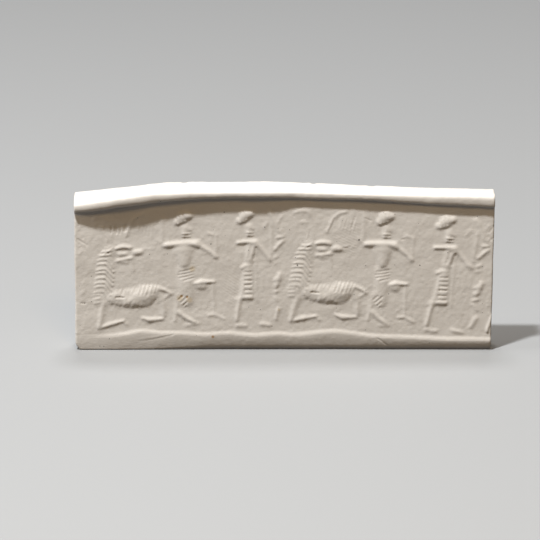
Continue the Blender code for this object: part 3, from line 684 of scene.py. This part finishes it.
def strip_grid():
    """Points of the strip as one grid of closed sections with the print raised, and the zone of each row.

    At a cut end the sections shrink towards a spine, which runs up the middle as far as the lip's foot.
    """
    depth, inset, closing = end_columns()
    margin = END_ROUND / STRIP_LENGTH
    inner = np.linspace(margin, 1.0 - margin, COLUMNS)
    share = np.concatenate([depth / STRIP_LENGTH, inner, 1.0 - depth[::-1] / STRIP_LENGTH])
    flat = np.zeros(COLUMNS)
    inset = np.concatenate([inset, flat, inset[::-1]])
    closing = np.concatenate([closing, flat, closing[::-1]])
    y, z, zones = section(share)
    left, right = strip_ends(z)
    x = left + (right - left) * share[:, None]
    relief = printed(x, z) * field_share(share, y, z)
    y = y - RELIEF_DEPTH * (relief + worn(x, z) * (y < MIDDLE_Y))
    back_edge = np.clip((y - PLATE_THICKNESS) / NICK_REACH + 1.0, 0.0, 1.0) * (z > 0.5 * CROWN_HEIGHT)
    for nick_x, width, bite in BACK_NICKS:
        z = z - bite * np.exp(-((x - nick_x) / width) ** 4) * back_edge
    spine_z = np.clip(z, MIDDLE_Y, lip_foot_height(share)[:, None])
    reach_y = MIDDLE_Y - y
    reach_z = spine_z - z
    way = np.maximum(closing[:, None], inset[:, None] / np.hypot(reach_y, reach_z))
    y = y + way * reach_y
    z = z + way * reach_z
    left, right = strip_ends(z)
    x = left + (right - left) * share[:, None]
    return np.stack([x, y, z], axis=2), zones


def uneven(points, zones):
    """How far the clay stands off its smooth form: broad swells, small lumps and a fine orange peel.

    Each zone takes its own share of them, evened over a few rows, and the cut ends take one share.
    """
    window = np.full(2 * BLEND_ROWS + 1, 1.0 / (2 * BLEND_ROWS + 1))
    share = np.array([UNEVENNESS[zone] for zone in zones])
    share = np.convolve(np.pad(share, BLEND_ROWS, mode="wrap"), window, mode="valid")
    column = np.arange(len(points))
    capped = np.minimum(column, column[::-1]) < len(CAP_CLOSING)
    share = np.where(capped[:, None], CAP_UNEVENNESS, share)
    swell = SWELL_HEIGHT * lattice_noise(points, SWELL_CELL, SWELL_SEED)
    lump = LUMP_HEIGHT * lattice_noise(points, LUMP_CELL, LUMP_SEED)
    peel = PEEL_HEIGHT * lattice_noise(points, PEEL_CELL, PEEL_SEED)
    ragged = RAGGED_HEIGHT * lattice_noise(points, RAGGED_CELL, RAGGED_SEED)
    edge = (zones == "top") * (points[:, :, 1] > PLATE_THICKNESS - NICK_REACH)
    return share * (swell + lump) + np.minimum(share * 2.0, 1.0) * peel + edge * ragged


def seal_strip():
    """The strip's object: the uneven grid, brought exactly into the box of its solid and capped."""
    points, zones = strip_grid()
    points = points + outward(points) * uneven(points, zones)[:, :, None]
    low, high = points.min(axis=(0, 1)), points.max(axis=(0, 1))
    box_low, box_high = (np.array(corner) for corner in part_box("seal_impression"))
    points = box_low + (points - low) * (box_high - box_low) / (high - low)
    columns, rows = points.shape[:2]
    index = np.arange(columns * rows).reshape(columns, rows)
    here, there = index[:-1], index[1:]
    quads = np.stack([here, there, np.roll(there, -1, 1), np.roll(here, -1, 1)], axis=2).reshape(-1, 4)
    faces = quads.tolist() + [index[0].tolist(), index[-1][::-1].tolist()]
    mesh = bpy.data.meshes.new("clay_strip")
    mesh.from_pydata(points.reshape(-1, 3).tolist(), [], faces)
    mesh.shade_smooth()
    strip = bpy.data.objects.new("clay_strip", mesh)
    bpy.context.scene.collection.objects.link(strip)
    return strip


# Materials.


def new_material(name):
    """New material, with its nodes, its links and its Principled BSDF."""
    material = bpy.data.materials.new(name)
    material.use_nodes = True
    tree = material.node_tree
    return material, tree.nodes, tree.links, tree.nodes["Principled BSDF"]


def place_on_face(u, v):
    """Place on the printed face, in metres, of a place on the unrolled seal."""
    radius = TRACK_RADIUS + v * GRID_STEP - SEAL_HEIGHT / 2
    angle = u * GRID_STEP / TRACK_RADIUS
    return TRACK_CROWN_X + radius * np.sin(angle), FACE_Y, TRACK_CENTRE_Z + radius * np.cos(angle)


def clay_material():
    """Baked modelling clay: warm white, matt, mottled, with dark specks and rust stains, and painted shade
    at pinholes.
    """
    material, nodes, links, shader = new_material("pale_clay")
    place = nodes.new("ShaderNodeTexCoord").outputs["Object"]

    def noise(scale, detail):
        node = nodes.new("ShaderNodeTexNoise")
        node.inputs["Scale"].default_value = scale
        node.inputs["Detail"].default_value = detail
        links.new(place, node.inputs["Vector"])
        return node.outputs["Fac"]

    def ramp(value, low, high):
        node = nodes.new("ShaderNodeMapRange")
        node.inputs["From Min"].default_value = low
        node.inputs["From Max"].default_value = high
        links.new(value, node.inputs["Value"])
        return node.outputs["Result"]

    def spots(centres):
        total = None
        for u, v, radius in centres:
            away = nodes.new("ShaderNodeVectorMath")
            away.operation = "DISTANCE"
            away.inputs[1].default_value = place_on_face(u, v)
            links.new(place, away.inputs[0])
            mask = ramp(away.outputs["Value"], radius * GRID_STEP, SPOT_CORE * radius * GRID_STEP)
            if total is None:
                total = mask
                continue
            both = nodes.new("ShaderNodeMath")
            both.operation = "MAXIMUM"
            links.new(total, both.inputs[0])
            links.new(mask, both.inputs[1])
            total = both.outputs[0]
        return total

    def specks():
        cells = nodes.new("ShaderNodeTexVoronoi")
        cells.inputs["Scale"].default_value = SPECK_SCALE
        links.new(place, cells.inputs["Vector"])
        near = ramp(cells.outputs["Distance"], SPECK_SIZE, SPOT_CORE * SPECK_SIZE)
        part = nodes.new("ShaderNodeSeparateColor")
        links.new(cells.outputs["Color"], part.inputs["Color"])
        few = nodes.new("ShaderNodeMath")
        few.operation = "GREATER_THAN"
        few.inputs[1].default_value = SPECK_RARITY
        links.new(part.outputs["Red"], few.inputs[0])
        both = nodes.new("ShaderNodeMath")
        both.operation = "MULTIPLY"
        links.new(near, both.inputs[0])
        links.new(few.outputs[0], both.inputs[1])
        return both.outputs[0]

    def tint(base, mask, colour, cover):
        part = nodes.new("ShaderNodeMath")
        part.operation = "MULTIPLY"
        part.inputs[1].default_value = cover
        links.new(mask, part.inputs[0])
        node = nodes.new("ShaderNodeMix")
        node.data_type = "RGBA"
        node.inputs["B"].default_value = (*colour, 1.0)
        links.new(part.outputs[0], node.inputs["Factor"])
        links.new(base, node.inputs["A"])
        return node.outputs["Result"]

    mottle = nodes.new("ShaderNodeMix")
    mottle.data_type = "RGBA"
    mottle.inputs["A"].default_value = (*CLAY_DARK, 1.0)
    mottle.inputs["B"].default_value = (*CLAY_LIGHT, 1.0)
    links.new(noise(*MOTTLE_NOISE), mottle.inputs["Factor"])
    colour = tint(mottle.outputs["Result"], ramp(noise(*SMEAR_NOISE), *SMEAR_RANGE), *SMEAR)
    colour = tint(colour, spots(RUST_SPOTS), *RUST)
    colour = tint(colour, spots(FAINT_SPOTS), *FAINT_RUST)
    colour = tint(colour, specks(), *SPECK)
    # Painted shade: near-black spots where pinholes lie.
    colour = tint(colour, spots(PINHOLE_SHADE_SPOTS), *PINHOLE_SHADE)
    links.new(colour, shader.inputs["Base Color"])
    shader.inputs["Roughness"].default_value = CLAY_ROUGHNESS
    grain = nodes.new("ShaderNodeBump")
    grain.inputs["Distance"].default_value = GRAIN_HEIGHT
    grain.inputs["Strength"].default_value = GRAIN_STRENGTH
    links.new(noise(*GRAIN_NOISE), grain.inputs["Height"])
    links.new(grain.outputs["Normal"], shader.inputs["Normal"])
    return material


def floor_material():
    """Plain pale floor."""
    material, _, _, shader = new_material("pale_floor")
    shader.inputs["Base Color"].default_value = (FLOOR_GREY, FLOOR_GREY, FLOOR_GREY, 1.0)
    shader.inputs["Roughness"].default_value = FLOOR_ROUGHNESS
    return material


# Stage.


def aim(thing, target):
    """Turns a lamp or a camera to look at the target."""
    thing.rotation_euler = (Vector(target) - thing.location).to_track_quat("-Z", "Y").to_euler()


def make_floor():
    """Wide flat floor that curves up far behind, along nearly a quarter of a circle."""
    turn = np.linspace(*BEND_TURN, BEND_ROWS)
    flat = np.linspace(FLOOR_FRONT, FLOOR_BEND, FLOOR_ROWS)
    depth = np.concatenate([flat, FLOOR_BEND + BEND_RADIUS * np.sin(turn)])
    height = np.concatenate([np.zeros(FLOOR_ROWS), BEND_RADIUS * (1.0 - np.cos(turn))])
    across = np.linspace(-FLOOR_HALF_WIDTH, FLOOR_HALF_WIDTH, FLOOR_COLUMNS)[:, None]
    grid = np.stack(np.broadcast_arrays(across, depth, height), axis=2)
    index = np.arange(FLOOR_COLUMNS * len(depth)).reshape(FLOOR_COLUMNS, -1)
    near, far = index[:, :-1], index[:, 1:]
    quads = np.stack([near[:-1], near[1:], far[1:], far[:-1]], axis=2).reshape(-1, 4)
    mesh = bpy.data.meshes.new("floor")
    mesh.from_pydata(grid.reshape(-1, 3).tolist(), [], quads.tolist())
    mesh.materials.append(floor_material())
    mesh.shade_smooth()
    floor = bpy.data.objects.new("floor", mesh)
    bpy.context.scene.collection.objects.link(floor)
    floor.visible_diffuse = False


def soft_light(name, place, side, watts, colour):
    """Square lamp, turned to the strip."""
    data = bpy.data.lights.new(name, "AREA")
    data.shape = "SQUARE"
    data.size = side
    data.energy = watts
    data.color = colour
    lamp = bpy.data.objects.new(name, data)
    lamp.location = place
    bpy.context.scene.collection.objects.link(lamp)
    aim(lamp, LAMP_TARGET)


def make_camera():
    """Long lens at the photograph's angle, from the front and a little above."""
    pitch = np.radians(CAMERA_ELEVATION)
    target = Vector(CAMERA_TARGET)
    data = bpy.data.cameras.new("camera")
    data.sensor_width = SENSOR_WIDTH
    data.lens = SENSOR_WIDTH * CAMERA_DISTANCE / VIEW_WIDTH
    camera = bpy.data.objects.new("camera", data)
    camera.location = target + CAMERA_DISTANCE * Vector((0.0, -np.cos(pitch), np.sin(pitch)))
    bpy.context.scene.collection.objects.link(camera)
    aim(camera, target)
    bpy.context.scene.camera = camera


def make_light():
    """A small key lamp from the upper left, three softer lamps and a weak even sky."""
    for lamp in LAMPS:
        soft_light(*lamp)
    world = bpy.data.worlds.new("sky")
    world.use_nodes = True
    background = world.node_tree.nodes["Background"]
    background.inputs["Color"].default_value = (*SKY_COLOUR, 1.0)
    background.inputs["Strength"].default_value = SKY_STRENGTH
    bpy.context.scene.world = world


strip = seal_strip()
strip.data.materials.append(clay_material())
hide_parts("seal_impression")
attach(strip, "root")
make_floor()
make_camera()
make_light()
bpy.context.scene.view_settings.view_transform = "Standard"
